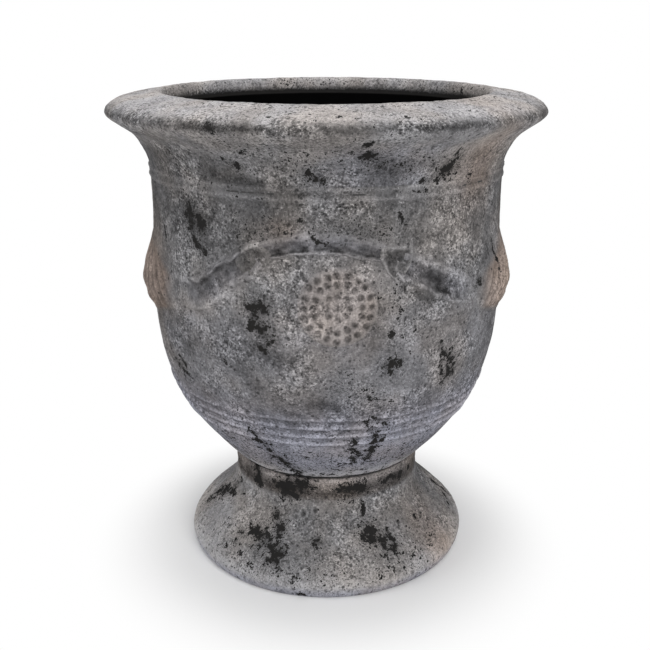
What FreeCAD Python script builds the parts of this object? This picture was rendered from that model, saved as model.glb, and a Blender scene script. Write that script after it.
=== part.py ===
# A footed garden urn. A bell foot, a thrown bowl and a flared rim collar are luted together with lap and
# spigot joints, and garlands, knots, rosettes and side swags are applied to the wall as separate relief.
# Millimetres, +Z up. The origin is on the floor, on the axis. The front of the urn faces -Y.
import FreeCAD
import Part
import math
import os

# Foot, from the floor up
FOOT_RADIUS = 158.5
FOOT_WIDEST_HEIGHT = 13.5
TOE_INSET = 6.5
TOE_PULL = 4.5
FLARE_HEIGHT = 73.5
FLARE_UPPER_PULL = 29.0
FLARE_LOWER_PULL = 19.0
COLLAR_RADIUS = 104.5
COLLAR_HEIGHT = 26.5
COLLAR_WALL = 18.0
FOOT_RING_WIDTH = 18.0

# Luted joint between the foot and the bowl
FOOT_SLIP = 2.5
SPIGOT_DEPTH = 12.0

# Bowl: each rise is measured from the point below it, and the belly follows the neck
NECK_RADIUS = 184.0
BASE_OVERHANG = 2.0
HEEL_RISE = 27.5
HEEL_RADIUS = 132.0
LOWER_BELLY_RISE = 45.0
LOWER_BELLY_INSET = 21.0
BELLY_RISE = 62.5
BELLY_INSET = 1.0
SHOULDER_RISE = 85.0
SHOULDER_SWELL = 2.3
NECK_RISE = 96.0
BOWL_WALL = 18.0
BOWL_FLOOR = 20.0
DRAIN_RADIUS = 14.0

# Cord lines tooled on the lower belly
CORD_COUNT = 4
CORD_FIRST_RISE = 65.0
CORD_PITCH = 10.7
CORD_WIDTH = 4.4
CORD_PROUD = 1.3

# Lap joint between the bowl and the rim collar
NECK_SLIP = 1.5
LAP_HEIGHT = 10.0

# Rim collar: drops are measured down from the crest, overhangs out from the neck
RIM_HEIGHT = 77.5
RIM_OVERHANG = 41.0
RIM_WIDEST_DROP = 19.0
RIM_UNDER_DROP = 27.5
RIM_UNDER_INSET = 8.0
RIM_TOP_DROP = 6.9
RIM_TOP_INSET = 13.5
LIP_MID_DROP = 3.0
LIP_MID_OVERHANG = 7.0
FLARE_MID_DROP = 39.5
FLARE_MID_OVERHANG = 16.0
FLARE_LOW_DROP = 52.5
FLARE_LOW_OVERHANG = 7.0
MOUTH_DROP = 12.0
MOUTH_ROUND = 6.5

# Neck band: a strip with a fillet along each edge, over the lap joint
BAND_HEIGHT = 12.0
BAND_PROUD = 1.8
BAND_FILLET_WIDTH = 4.6
BAND_FILLET_PROUD = 3.0

# Relief: drops are measured down from the lap joint, azimuths in degrees from the front towards +X. Every
# piece of it lies on a thin bed of slip, which is the clearance to the wall and to the piece beside it.
BED = 0.3
ROSETTE_AZIMUTH = 3.0
ROSETTE_DROP = 102.0
ROSETTE_RADIUS = 37.0
ROSETTE_BEVEL = 2.5
ROSETTE_PROUD = 3.5
DIMPLE_RING_RADII = (31.0, 22.5, 11.0, 0.0)
DIMPLE_RING_COUNTS = (20, 16, 8, 1)
DIMPLE_WIDTH = 6.0
DIMPLE_DEPTH = 1.8

CREST_AZIMUTH = -1.0
CREST_DROP = 42.0
CREST_WIDTH = 14.0
CREST_PROUD = 4.0
LEFT_KNOT_AZIMUTH = -21.0
LEFT_KNOT_DROP = 58.0
RIGHT_KNOT_AZIMUTH = 19.5
RIGHT_KNOT_DROP = 62.0
KNOT_LOBE_COUNT = 3
KNOT_SPREAD = 7.0
KNOT_LOBE_WIDTH = 19.0
KNOT_PROUD = 6.0
GARLAND_WIDTH = 22.0
GARLAND_PROUD = 5.5
LEFT_MID_AZIMUTH = -35.0
LEFT_MID_DROP = 95.0
RIGHT_MID_AZIMUTH = 33.0
RIGHT_MID_DROP = 86.0
GARLAND_END_AZIMUTH = 58.0
GARLAND_END_DROP = 106.0

SWAG_AZIMUTH = 90.0
SWAG_DROP = 110.0
SWAG_HEIGHT = 84.0
SWAG_SPAN = 76.0
SWAG_PROUD = 11.4

# Levels and radii that follow from the sizes above
FLARE_TOP = FOOT_WIDEST_HEIGHT + FLARE_HEIGHT
FOOT_TOP = FLARE_TOP + COLLAR_HEIGHT
FOOT_BORE = COLLAR_RADIUS - COLLAR_WALL
SPIGOT_RADIUS = FOOT_BORE - FOOT_SLIP
SPIGOT_BOTTOM = FOOT_TOP + FOOT_SLIP - SPIGOT_DEPTH
BASE = FOOT_TOP + FOOT_SLIP
FLOOR_TOP = BASE + BOWL_FLOOR
HEEL = BASE + HEEL_RISE
LOWER_BELLY = HEEL + LOWER_BELLY_RISE
BELLY = LOWER_BELLY + BELLY_RISE
SHOULDER = BELLY + SHOULDER_RISE
LAP = SHOULDER + NECK_RISE
MOUTH_RADIUS = NECK_RADIUS - BOWL_WALL
TONGUE_RADIUS = NECK_RADIUS - BOWL_WALL / 2 - NECK_SLIP / 2
SOCKET_RADIUS = TONGUE_RADIUS + NECK_SLIP
CREST = LAP + RIM_HEIGHT

ORIGIN = FreeCAD.Vector(0, 0, 0)
UP = FreeCAD.Vector(0, 0, 1)
DOWN = FreeCAD.Vector(0, 0, -1)
SEARCH_PRECISION = 1e-9


def at(radius, height):
    """A point of a turned section, which lies in the XZ plane."""
    return FreeCAD.Vector(radius, 0, height)


def run(*points):
    """Straight edges from point to point."""
    return [Part.LineSegment(a, b).toShape() for a, b in zip(points, points[1:])]


def smooth(points, start=None, end=None):
    """One smooth curve through the points, with set directions at its ends where they are given."""
    curve = Part.BSplineCurve()
    tangents = {}
    if start is not None:
        tangents["InitialTangent"] = start
    if end is not None:
        tangents["FinalTangent"] = end
    curve.interpolate(Points=points, **tangents)
    return curve


def pulled(*poles):
    """A smooth curve drawn towards its inner poles."""
    curve = Part.BezierCurve()
    curve.setPoles(list(poles))
    return curve.toBSpline()


def turned(edges):
    """The solid that a closed section makes when it is turned about the axis."""
    wire = Part.Wire(Part.__sortEdges__(edges))
    return Part.Face(wire).revolve(ORIGIN, UP, 360)


def offset_curve(curve, distance):
    """A curve that keeps the distance from another one, on its axis side where the distance is positive."""
    points = []
    for knot in curve.getKnots():
        tangent = curve.tangent(knot)[0]
        inward = FreeCAD.Vector(-tangent.z, 0, tangent.x)
        points.append(curve.value(knot) + inward * distance)
    return smooth(points, end=curve.tangent(curve.LastParameter)[0])


def parameter_at(curve, height):
    """Where a curve reaches a height on its way up to its highest knot."""
    low = curve.FirstParameter
    high = max(curve.getKnots(), key=lambda knot: curve.value(knot).z)
    while high - low > SEARCH_PRECISION:
        middle = (low + high) / 2
        if curve.value(middle).z < height:
            low = middle
        else:
            high = middle
    return low


def solid_of(shape):
    """The piece that a cut or a fuse leaves, without the crumbs beside it."""
    return max(shape.Solids, key=lambda solid: solid.Volume)


WALL_CURVE = smooth(
    [
        at(COLLAR_RADIUS + BASE_OVERHANG, BASE),
        at(HEEL_RADIUS, HEEL),
        at(NECK_RADIUS - LOWER_BELLY_INSET, LOWER_BELLY),
        at(NECK_RADIUS - BELLY_INSET, BELLY),
        at(NECK_RADIUS + SHOULDER_SWELL, SHOULDER),
        at(NECK_RADIUS, LAP),
    ],
    end=UP,
)


def filled(curve):
    """Everything between a rising curve and the axis."""
    low = curve.StartPoint
    high = curve.EndPoint
    sides = run(high, at(0, high.z), at(0, low.z), low)
    return turned([curve.toShape()] + sides)


WALL = filled(WALL_CURVE)
BED_CURVE = offset_curve(WALL_CURVE, -BED)
BEDDED_WALL = filled(BED_CURVE)


def radius_at(curve, height):
    return curve.value(parameter_at(curve, height)).x


def wall_radius(height):
    return radius_at(WALL_CURVE, height)


def on_wall(azimuth, height, out=0.0):
    """A point on the bowl's wall, or out from it along the radius."""
    radius = wall_radius(height) + out
    angle = math.radians(azimuth)
    return FreeCAD.Vector(radius * math.sin(angle), -radius * math.cos(angle), height)


def outward(azimuth):
    angle = math.radians(azimuth)
    return FreeCAD.Vector(math.sin(angle), -math.cos(angle), 0)


def sideways(azimuth):
    """Level and along the wall, towards a larger azimuth."""
    angle = math.radians(azimuth)
    return FreeCAD.Vector(math.cos(angle), math.sin(angle), 0)


def bead_radius(width, proud):
    """The radius of a round bead that shows this width and stands this proud of its seat."""
    return (width ** 2 / 4 + proud ** 2) / (2 * proud)


def make_foot():
    toe = pulled(
        at(FOOT_RADIUS - TOE_INSET, 0),
        at(FOOT_RADIUS, TOE_PULL),
        at(FOOT_RADIUS, FOOT_WIDEST_HEIGHT),
    )
    flare = pulled(
        at(FOOT_RADIUS, FOOT_WIDEST_HEIGHT),
        at(FOOT_RADIUS, FOOT_WIDEST_HEIGHT + FLARE_LOWER_PULL),
        at(COLLAR_RADIUS, FLARE_TOP - FLARE_UPPER_PULL),
        at(COLLAR_RADIUS, FLARE_TOP),
    )
    ring_radius = FOOT_RADIUS - TOE_INSET - FOOT_RING_WIDTH
    inside = run(
        at(COLLAR_RADIUS, FLARE_TOP),
        at(COLLAR_RADIUS, FOOT_TOP),
        at(FOOT_BORE, FOOT_TOP),
        at(FOOT_BORE, FLARE_TOP),
        at(ring_radius, FOOT_WIDEST_HEIGHT),
        at(ring_radius, 0),
        at(FOOT_RADIUS - TOE_INSET, 0),
    )
    return turned([toe.toShape(), flare.toShape()] + inside)


def make_foot_joint_slip():
    section = run(
        at(SPIGOT_RADIUS, SPIGOT_BOTTOM),
        at(FOOT_BORE, SPIGOT_BOTTOM),
        at(FOOT_BORE, FOOT_TOP),
        at(COLLAR_RADIUS, FOOT_TOP),
        at(COLLAR_RADIUS, BASE),
        at(SPIGOT_RADIUS, BASE),
        at(SPIGOT_RADIUS, SPIGOT_BOTTOM),
    )
    return turned(section)


def cord_line(index):
    height = BASE + CORD_FIRST_RISE + index * CORD_PITCH
    radius = bead_radius(CORD_WIDTH, CORD_PROUD)
    return Part.makeTorus(wall_radius(height) + CORD_PROUD - radius, radius, FreeCAD.Vector(0, 0, height))


def make_bowl():
    inner = offset_curve(WALL_CURVE, BOWL_WALL)
    inner.segment(parameter_at(inner, FLOOR_TOP), inner.LastParameter)
    below = run(
        inner.StartPoint,
        at(DRAIN_RADIUS, FLOOR_TOP),
        at(DRAIN_RADIUS, SPIGOT_BOTTOM),
        at(SPIGOT_RADIUS, SPIGOT_BOTTOM),
        at(SPIGOT_RADIUS, BASE),
        WALL_CURVE.StartPoint,
    )
    tongue = run(
        WALL_CURVE.EndPoint,
        at(TONGUE_RADIUS, LAP),
        at(TONGUE_RADIUS, LAP + LAP_HEIGHT),
        at(MOUTH_RADIUS, LAP + LAP_HEIGHT),
        inner.EndPoint,
    )
    bowl = turned([WALL_CURVE.toShape(), inner.toShape()] + below + tongue)
    cords = [cord_line(index) for index in range(CORD_COUNT)]
    return solid_of(bowl.fuse([cord.cut(WALL) for cord in cords]))


def make_neck_joint_slip():
    tongue_top = LAP + LAP_HEIGHT
    section = run(
        at(NECK_RADIUS, LAP),
        at(NECK_RADIUS, LAP + NECK_SLIP),
        at(SOCKET_RADIUS, LAP + NECK_SLIP),
        at(SOCKET_RADIUS, tongue_top + NECK_SLIP),
        at(MOUTH_RADIUS, tongue_top + NECK_SLIP),
        at(MOUTH_RADIUS, tongue_top),
        at(TONGUE_RADIUS, tongue_top),
        at(TONGUE_RADIUS, LAP),
        at(NECK_RADIUS, LAP),
    )
    return turned(section)


def rim_curve():
    """The collar's face, up the flare, over the rolled rim, along the lip to its crest and into the mouth."""
    rim = NECK_RADIUS + RIM_OVERHANG
    points = [
        at(NECK_RADIUS, LAP + NECK_SLIP),
        at(NECK_RADIUS + FLARE_LOW_OVERHANG, CREST - FLARE_LOW_DROP),
        at(NECK_RADIUS + FLARE_MID_OVERHANG, CREST - FLARE_MID_DROP),
        at(rim - RIM_UNDER_INSET, CREST - RIM_UNDER_DROP),
        at(rim, CREST - RIM_WIDEST_DROP),
        at(rim - RIM_TOP_INSET, CREST - RIM_TOP_DROP),
        at(NECK_RADIUS + LIP_MID_OVERHANG, CREST - LIP_MID_DROP),
        at(MOUTH_RADIUS + MOUTH_ROUND, CREST),
        at(MOUTH_RADIUS, CREST - MOUTH_DROP),
    ]
    return smooth(points, start=UP, end=DOWN)


def make_rim_collar():
    face = rim_curve()
    socket_top = LAP + LAP_HEIGHT + NECK_SLIP
    inside = run(
        face.EndPoint,
        at(MOUTH_RADIUS, socket_top),
        at(SOCKET_RADIUS, socket_top),
        at(SOCKET_RADIUS, LAP + NECK_SLIP),
        face.StartPoint,
    )
    return turned([face.toShape()] + inside)


def make_neck_band():
    """The strip follows the wall that it covers: the bowl below, the lap joint and the collar above."""
    middle = LAP + NECK_SLIP / 2
    lower = middle - BAND_HEIGHT / 2
    upper = middle + BAND_HEIGHT / 2
    half = BAND_FILLET_WIDTH / 2
    collar = rim_curve()
    collar_side = collar.copy()
    collar_side.segment(collar.FirstParameter, parameter_at(collar, upper + half))
    collar_side.translate(at(BED, 0))
    bowl_side = WALL_CURVE.copy()
    bowl_side.segment(parameter_at(WALL_CURVE, lower - half), WALL_CURVE.LastParameter)
    bowl_side.translate(at(BED, 0))
    lower_fillet = Part.Arc(
        bowl_side.StartPoint,
        at(wall_radius(lower) + BAND_FILLET_PROUD, lower),
        at(wall_radius(lower + half) + BAND_PROUD, lower + half),
    )
    upper_fillet = Part.Arc(
        at(radius_at(collar, upper - half) + BAND_PROUD, upper - half),
        at(radius_at(collar, upper) + BAND_FILLET_PROUD, upper),
        collar_side.EndPoint,
    )
    face = run(lower_fillet.EndPoint, upper_fillet.StartPoint)
    joint = run(bowl_side.EndPoint, collar_side.StartPoint)
    curves = (bowl_side, collar_side, lower_fillet, upper_fillet)
    return turned([curve.toShape() for curve in curves] + face + joint)


def make_rosette(azimuth):
    """A low disc that follows the wall, with rings of dimples pressed into its face."""
    height = LAP - ROSETTE_DROP
    slope = ROSETTE_BEVEL / ROSETTE_PROUD
    depth = ROSETTE_RADIUS
    reach = depth + 2 * ROSETTE_PROUD
    seat = on_wall(azimuth, height, -depth)
    wide = ROSETTE_RADIUS + slope * depth
    plug = Part.makeCone(wide, wide - slope * reach, reach, seat, outward(azimuth))
    face = filled(offset_curve(WALL_CURVE, -ROSETTE_PROUD))
    disc = plug.common(face).cut(BEDDED_WALL)
    ball = bead_radius(DIMPLE_WIDTH, DIMPLE_DEPTH)
    dimples = []
    for ring, count in zip(DIMPLE_RING_RADII, DIMPLE_RING_COUNTS):
        for index in range(count):
            turn = 2 * math.pi * index / count
            level = height + ring * math.cos(turn)
            around = math.degrees(ring * math.sin(turn) / wall_radius(height))
            centre = on_wall(azimuth + around, level, ROSETTE_PROUD + ball - DIMPLE_DEPTH)
            dimples.append(Part.makeSphere(ball, centre))
    return solid_of(disc.cut(dimples))


def knot_lobes(azimuth, drop, grown=0.0):
    """Round lobes pressed together, with one at the bottom."""
    ball = bead_radius(KNOT_LOBE_WIDTH, KNOT_PROUD)
    centre = on_wall(azimuth, LAP - drop, KNOT_PROUD - ball)
    lobes = []
    for index in range(KNOT_LOBE_COUNT):
        turn = math.pi + 2 * math.pi * index / KNOT_LOBE_COUNT
        step = sideways(azimuth) * math.sin(turn) + UP * math.cos(turn)
        lobes.append(Part.makeSphere(ball + grown, centre + step * KNOT_SPREAD))
    return lobes[0].fuse(lobes[1:])


def swag_barrel(azimuth, grown=0.0):
    """A barrel whose own axis stands beside the urn's axis, so that its sides dip into the wall."""
    height = LAP - SWAG_DROP
    seat = wall_radius(height)
    front = seat + SWAG_PROUD
    end_depth = seat * math.cos(math.radians(SWAG_SPAN / 2))
    stand = (front ** 2 - seat ** 2) / (2 * (front - end_depth))
    barrel = front - stand + grown
    bulge = bead_radius(SWAG_HEIGHT, SWAG_PROUD) + grown
    sunk = 2 * SWAG_PROUD
    reach = math.sqrt(bulge ** 2 - (bulge - sunk) ** 2)
    bottom = at(barrel - sunk, -reach)
    top = at(barrel - sunk, reach)
    stave = Part.Arc(bottom, at(barrel, 0), top).toShape()
    solid = turned([stave] + run(top, at(0, reach), at(0, -reach), bottom))
    solid.rotate(ORIGIN, UP, 180)
    solid.translate(at(stand, height))
    solid.rotate(ORIGIN, UP, azimuth - 90)
    return solid


def bedded(shape):
    """What stands out of the wall's bed of slip."""
    return solid_of(shape.cut(BEDDED_WALL))


def make_garland(start, middle, end, width, proud, neighbours):
    """A round bead along an arc on the wall, trimmed by the wall and by the pieces that it runs into."""
    radius = bead_radius(width, proud)
    stops = [on_wall(azimuth, LAP - drop, proud - radius) for azimuth, drop in (start, middle, end)]
    path = Part.Arc(*stops).toShape()
    circle = Part.Circle(stops[0], path.tangentAt(path.FirstParameter), radius)
    section = Part.Face(Part.Wire(circle.toShape()))
    sweep = math.degrees(path.LastParameter - path.FirstParameter)
    bead = section.revolve(path.Curve.Center, path.Curve.Axis, sweep)
    return bedded(bead.cut(neighbours))


def turned_back(shape):
    """A copy on the opposite side of the urn."""
    return shape.rotated(ORIGIN, UP, 180)


def make_relief():
    """The applied relief: two side swags, and one set of garlands, knots and rosette on each face."""
    left_knot = (LEFT_KNOT_AZIMUTH, LEFT_KNOT_DROP)
    right_knot = (RIGHT_KNOT_AZIMUTH, RIGHT_KNOT_DROP)
    left_knot_room = knot_lobes(*left_knot, BED)
    right_knot_room = knot_lobes(*right_knot, BED)
    front = {
        "knot_{}_left": bedded(knot_lobes(*left_knot)),
        "knot_{}_right": bedded(knot_lobes(*right_knot)),
        "garland_{}_left": make_garland(
            left_knot,
            (LEFT_MID_AZIMUTH, LEFT_MID_DROP),
            (-GARLAND_END_AZIMUTH, GARLAND_END_DROP),
            GARLAND_WIDTH,
            GARLAND_PROUD,
            [left_knot_room, swag_barrel(-SWAG_AZIMUTH, BED)],
        ),
        "garland_{}_crest": make_garland(
            left_knot,
            (CREST_AZIMUTH, CREST_DROP),
            right_knot,
            CREST_WIDTH,
            CREST_PROUD,
            [left_knot_room, right_knot_room],
        ),
        "garland_{}_right": make_garland(
            right_knot,
            (RIGHT_MID_AZIMUTH, RIGHT_MID_DROP),
            (GARLAND_END_AZIMUTH, GARLAND_END_DROP),
            GARLAND_WIDTH,
            GARLAND_PROUD,
            [right_knot_room, swag_barrel(SWAG_AZIMUTH, BED)],
        ),
        "rosette_{}": make_rosette(ROSETTE_AZIMUTH),
    }
    relief = {
        "side_swag_left": bedded(swag_barrel(-SWAG_AZIMUTH)),
        "side_swag_right": bedded(swag_barrel(SWAG_AZIMUTH)),
    }
    for name, shape in front.items():
        relief[name.format("front")] = shape
        relief[name.format("back")] = turned_back(shape)
    return relief


pieces = {
    "foot": make_foot(),
    "foot_joint_slip": make_foot_joint_slip(),
    "bowl": make_bowl(),
    "neck_joint_slip": make_neck_joint_slip(),
    "rim_collar": make_rim_collar(),
    "neck_band": make_neck_band(),
}
pieces.update(make_relief())

os.makedirs("parts", exist_ok=True)
for name, shape in pieces.items():
    shape.exportStep("parts/" + name + ".step")
    box = shape.BoundBox
    print(name, shape.isValid(), len(shape.Solids), round(shape.Volume), [round(v, 1) for v in (
        box.XMin, box.XMax, box.YMin, box.YMax, box.ZMin, box.ZMax)])
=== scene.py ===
# %% [markdown]
# # A weathered garden urn
# The real object is a planter of fired clay: a bell foot, a tall bowl and a flared collar with a rolled
# rim, luted together, with a worn garland pressed on the wall. A black coat covers it. Over the coat
# lies a grey wash, pale on the ledges, thin on the wall and chipped off in places. This lesson dresses
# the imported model, piece by piece. Lengths are metres, the front faces -Y and the floor is at zero.

# %% Load the frame
import math

import bmesh
import bpy
import numpy as np
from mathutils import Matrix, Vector


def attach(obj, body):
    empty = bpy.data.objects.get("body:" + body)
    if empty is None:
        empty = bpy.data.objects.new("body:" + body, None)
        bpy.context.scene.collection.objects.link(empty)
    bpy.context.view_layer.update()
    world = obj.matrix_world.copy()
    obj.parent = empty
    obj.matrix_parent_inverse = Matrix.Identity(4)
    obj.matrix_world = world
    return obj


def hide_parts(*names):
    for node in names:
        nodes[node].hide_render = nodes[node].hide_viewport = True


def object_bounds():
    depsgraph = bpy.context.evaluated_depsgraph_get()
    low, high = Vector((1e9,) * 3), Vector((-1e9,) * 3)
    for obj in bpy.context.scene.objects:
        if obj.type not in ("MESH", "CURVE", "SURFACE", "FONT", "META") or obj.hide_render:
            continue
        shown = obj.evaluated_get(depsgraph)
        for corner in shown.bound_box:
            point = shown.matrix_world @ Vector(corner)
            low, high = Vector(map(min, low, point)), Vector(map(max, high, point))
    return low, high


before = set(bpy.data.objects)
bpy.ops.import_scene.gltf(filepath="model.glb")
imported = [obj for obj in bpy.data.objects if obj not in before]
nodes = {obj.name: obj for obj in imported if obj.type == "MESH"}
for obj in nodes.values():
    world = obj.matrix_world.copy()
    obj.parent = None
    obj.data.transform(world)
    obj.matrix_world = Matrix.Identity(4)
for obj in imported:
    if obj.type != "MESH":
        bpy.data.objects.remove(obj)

cad_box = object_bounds()
scene = bpy.context.scene
MM = 0.001
print("frame:", len(nodes), "nodes, from", tuple(cad_box[0]), "to", tuple(cad_box[1]))

# %% [markdown]
# ## Camera
# The photograph looks slightly down on the urn from the front. A camera could be placed by eye, but
# here its height, distance and lens were worked out from the ellipses of the rim, the neck and the
# foot, so that the urn fills the square frame as it does there.

# %% Camera
LOOK_AT_HEIGHT = 0.2513
CAMERA_DISTANCE = 1.0322
CAMERA_ELEVATION = math.radians(18.75)


def placed(name, data):
    """A new object in the scene, at the origin."""
    made = bpy.data.objects.new(name, data)
    scene.collection.objects.link(made)
    return made


lens = bpy.data.cameras.new("photo_lens")
lens.lens = 50.95
lens.sensor_width = 36.0
lens.shift_x = -0.0023
camera = placed("photo_camera", lens)
camera.location = (
    0,
    -CAMERA_DISTANCE * math.cos(CAMERA_ELEVATION),
    LOOK_AT_HEIGHT + CAMERA_DISTANCE * math.sin(CAMERA_ELEVATION),
)
camera.rotation_euler = (math.pi / 2 - CAMERA_ELEVATION, 0, 0)
scene.camera = camera
scene.view_settings.view_transform = "Standard"
print("camera at", tuple(round(v, 3) for v in camera.location))

# %% [markdown]
# ## Small helpers for nodes
# Materials and geometry trees are both made of nodes. Written out one call at a time they are hard to
# read, so one helper adds a node and fills its inputs, with a value or with the output of another node.

# %% Node helpers
def node(tree, kind, inputs=None, **settings):
    """Adds a node with its settings. Inputs go by socket name or number, as values or as other outputs."""
    made = tree.nodes.new(kind)
    for key, value in settings.items():
        setattr(made, key, value)
    for key, value in (inputs or {}).items():
        if isinstance(value, bpy.types.NodeSocket):
            tree.links.new(value, made.inputs[key])
        else:
            made.inputs[key].default_value = value
    return made


def wire(tree, kind, inputs=None, **settings):
    """Adds a node in the same way and gives its first output."""
    return node(tree, kind, inputs, **settings).outputs[0]


def maths(tree, operation, *values, clamp=False):
    return wire(tree, "ShaderNodeMath", dict(enumerate(values)), operation=operation, use_clamp=clamp)


def times(tree, value, amount):
    return maths(tree, "MULTIPLY", value, amount)


def total(tree, first, *others):
    for other in others:
        first = maths(tree, "ADD", first, other)
    return first


def swing(tree, value, amount):
    """A cloudy value around 0.5, turned into a swing about zero."""
    return times(tree, maths(tree, "SUBTRACT", value, 0.5), amount)


def mixed(tree, share, first, second, blend="MIX"):
    """The second colour over the first, by a share from 0 to 1."""
    inputs = {"Factor": share, 6: first, 7: second}
    return node(tree, "ShaderNodeMix", inputs, data_type="RGBA", blend_type=blend).outputs[2]


def scaled(tree, vector, amount):
    return wire(tree, "ShaderNodeVectorMath", {0: vector, "Scale": amount}, operation="SCALE")


def noise(tree, vector, scale, detail=3.0, roughness=0.6):
    """A cloudy value around 0.5. A scale of 100 has features about a hundredth of a metre wide."""
    settings = {"Vector": vector, "Scale": scale, "Detail": detail, "Roughness": roughness}
    return wire(tree, "ShaderNodeTexNoise", settings)


def smooth_step(tree, value, low, high, out_low=0.0, out_high=1.0):
    inputs = {"Value": value, "From Min": low, "From Max": high, "To Min": out_low, "To Max": out_high}
    return wire(tree, "ShaderNodeMapRange", inputs, interpolation_type="SMOOTHSTEP")


def socket(tree, name, way, kind, value=None):
    made = tree.interface.new_socket(name, in_out=way, socket_type="NodeSocket" + kind)
    if value is not None:
        made.default_value = value

# %% [markdown]
# ## Floor, background and light
# The urn stands on white with a soft shadow at its foot. White could come from strong lamps, but that
# would bleach the clay. Here the lamps stay at a plain level: the floor is a pale matt sheet that keeps
# the shadow near the foot and runs into plain white further out, and the world is white only to the
# camera.

# %% Stage
WORLD_LEVEL = 0.3
FLOOR_SIZE = 12.0
SHADOW_REACH = (0.15, 0.28)
SHADOW_MIDDLE = (0.0, -0.015, 0.0)
WHITE = (1, 1, 1, 1)
PAPER = (0.945, 0.945, 0.945, 1)
PAPER_BOUNCE = (0.6, 0.6, 0.6, 1)


def blank(name):
    """A new material with an empty tree of nodes."""
    material = bpy.data.materials.new(name)
    material.use_nodes = True
    material.node_tree.nodes.clear()
    return material, material.node_tree


world = bpy.data.worlds.new("studio")
scene.world = world
world.use_nodes = True
tree = world.node_tree
tree.nodes.clear()
seen = node(tree, "ShaderNodeLightPath").outputs["Is Camera Ray"]
levels = {"Value": seen, "To Min": WORLD_LEVEL, "To Max": 1.0}
sky = {"Color": WHITE, "Strength": wire(tree, "ShaderNodeMapRange", levels)}
node(tree, "ShaderNodeOutputWorld", {"Surface": wire(tree, "ShaderNodeBackground", sky)})

floor_paper, tree = blank("floor_paper")
place = node(tree, "ShaderNodeTexCoord").outputs["Object"]
away = node(tree, "ShaderNodeVectorMath", {0: place, 1: SHADOW_MIDDLE}, operation="DISTANCE")
far = smooth_step(tree, away.outputs["Value"], *SHADOW_REACH)
paper = wire(tree, "ShaderNodeBsdfDiffuse", {"Color": PAPER})
white = wire(tree, "ShaderNodeEmission", {"Color": WHITE, "Strength": 1.0})
bounce = wire(tree, "ShaderNodeBsdfDiffuse", {"Color": PAPER_BOUNCE})
shown = wire(tree, "ShaderNodeMixShader", {0: far, 1: paper, 2: white})
seen = node(tree, "ShaderNodeLightPath").outputs["Is Camera Ray"]
sheet = wire(tree, "ShaderNodeMixShader", {0: seen, 1: bounce, 2: shown})
node(tree, "ShaderNodeOutputMaterial", {"Surface": sheet})

floor_mesh = bpy.data.meshes.new("studio_floor")
half = FLOOR_SIZE / 2
corners = [(-half, -half, 0), (half, -half, 0), (half, half, 0), (-half, half, 0)]
floor_mesh.from_pydata(corners, [], [(0, 1, 2, 3)])
floor_mesh.materials.append(floor_paper)
floor = placed("studio_floor", floor_mesh)


def softbox(name, place, aim, size, watts):
    lamp = bpy.data.lights.new(name, "AREA")
    lamp.shape = "SQUARE"
    lamp.size = size
    lamp.energy = watts
    box = placed(name, lamp)
    box.location = place
    direction = Vector(aim) - Vector(place)
    box.rotation_euler = direction.to_track_quat("-Z", "Y").to_euler()


softbox("overhead_light", (0.0, 0.15, 2.3), (0, 0, 0.4), 1.6, 24.0)
softbox("front_light", (0.75, -1.9, 1.5), (0, 0, 0.25), 1.6, 33.0)
softbox("left_light", (-1.9, -0.7, 1.1), (0, 0, 0.2), 1.3, 10.0)

# %% [markdown]
# ## The grey wash
# The finish is a pale mineral wash brushed over a black coat. It settles in crumbs, wears through in
# pits and flakes off in ragged chips. An image could be wrapped round the urn, but it would stretch and
# repeat, so the wash is grown from noise in the urn's own space. Where it is chipped, rubbed pale,
# shaded or tinted is painted on each piece as four values: bare, rubbed, warm
# and cool. The first also runs past the chips into the deepest black, painted shade inside the mouth
# and the foot. The second holds painted highlights and painted shade as well as wear, and the cool
# tint is partly painted bounce light from the floor on the underside. The noise then frays their
# edges. Every clay piece shares this, so it is one node group.

# %% Wash group
PAINTED = ("bare", "rubbed", "warm", "cool")
WASH_STEPS = ((0.00, 0.02), (0.26, 0.062), (0.46, 0.13), (0.64, 0.235), (0.84, 0.4), (1.00, 0.56))
WARM_TINT = (1.16, 0.95, 0.81, 1)
COOL_TINT = (0.92, 0.95, 1.11, 1)
BLACK_COAT = (0.019, 0.018, 0.0175, 1)
# The deepest black, inside the mouth and the foot, is painted shade, darker than the black coat.
SHADED_BLACK_INSIDE = (0.0025, 0.0025, 0.0025, 1)
PIT_COLOUR = (0.03, 0.029, 0.03, 1)
WASH_HUE = (1.012, 0.992, 0.99)
MIDDLE_TONE = 0.564
WEAR_AND_SHADE_GAIN = 0.34
PITS_PER_METRE = 230.0
CHIP_EDGE = (0.48, 0.55)
DEEP_SHADE_BLACK = (1.3, 1.8)


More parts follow.
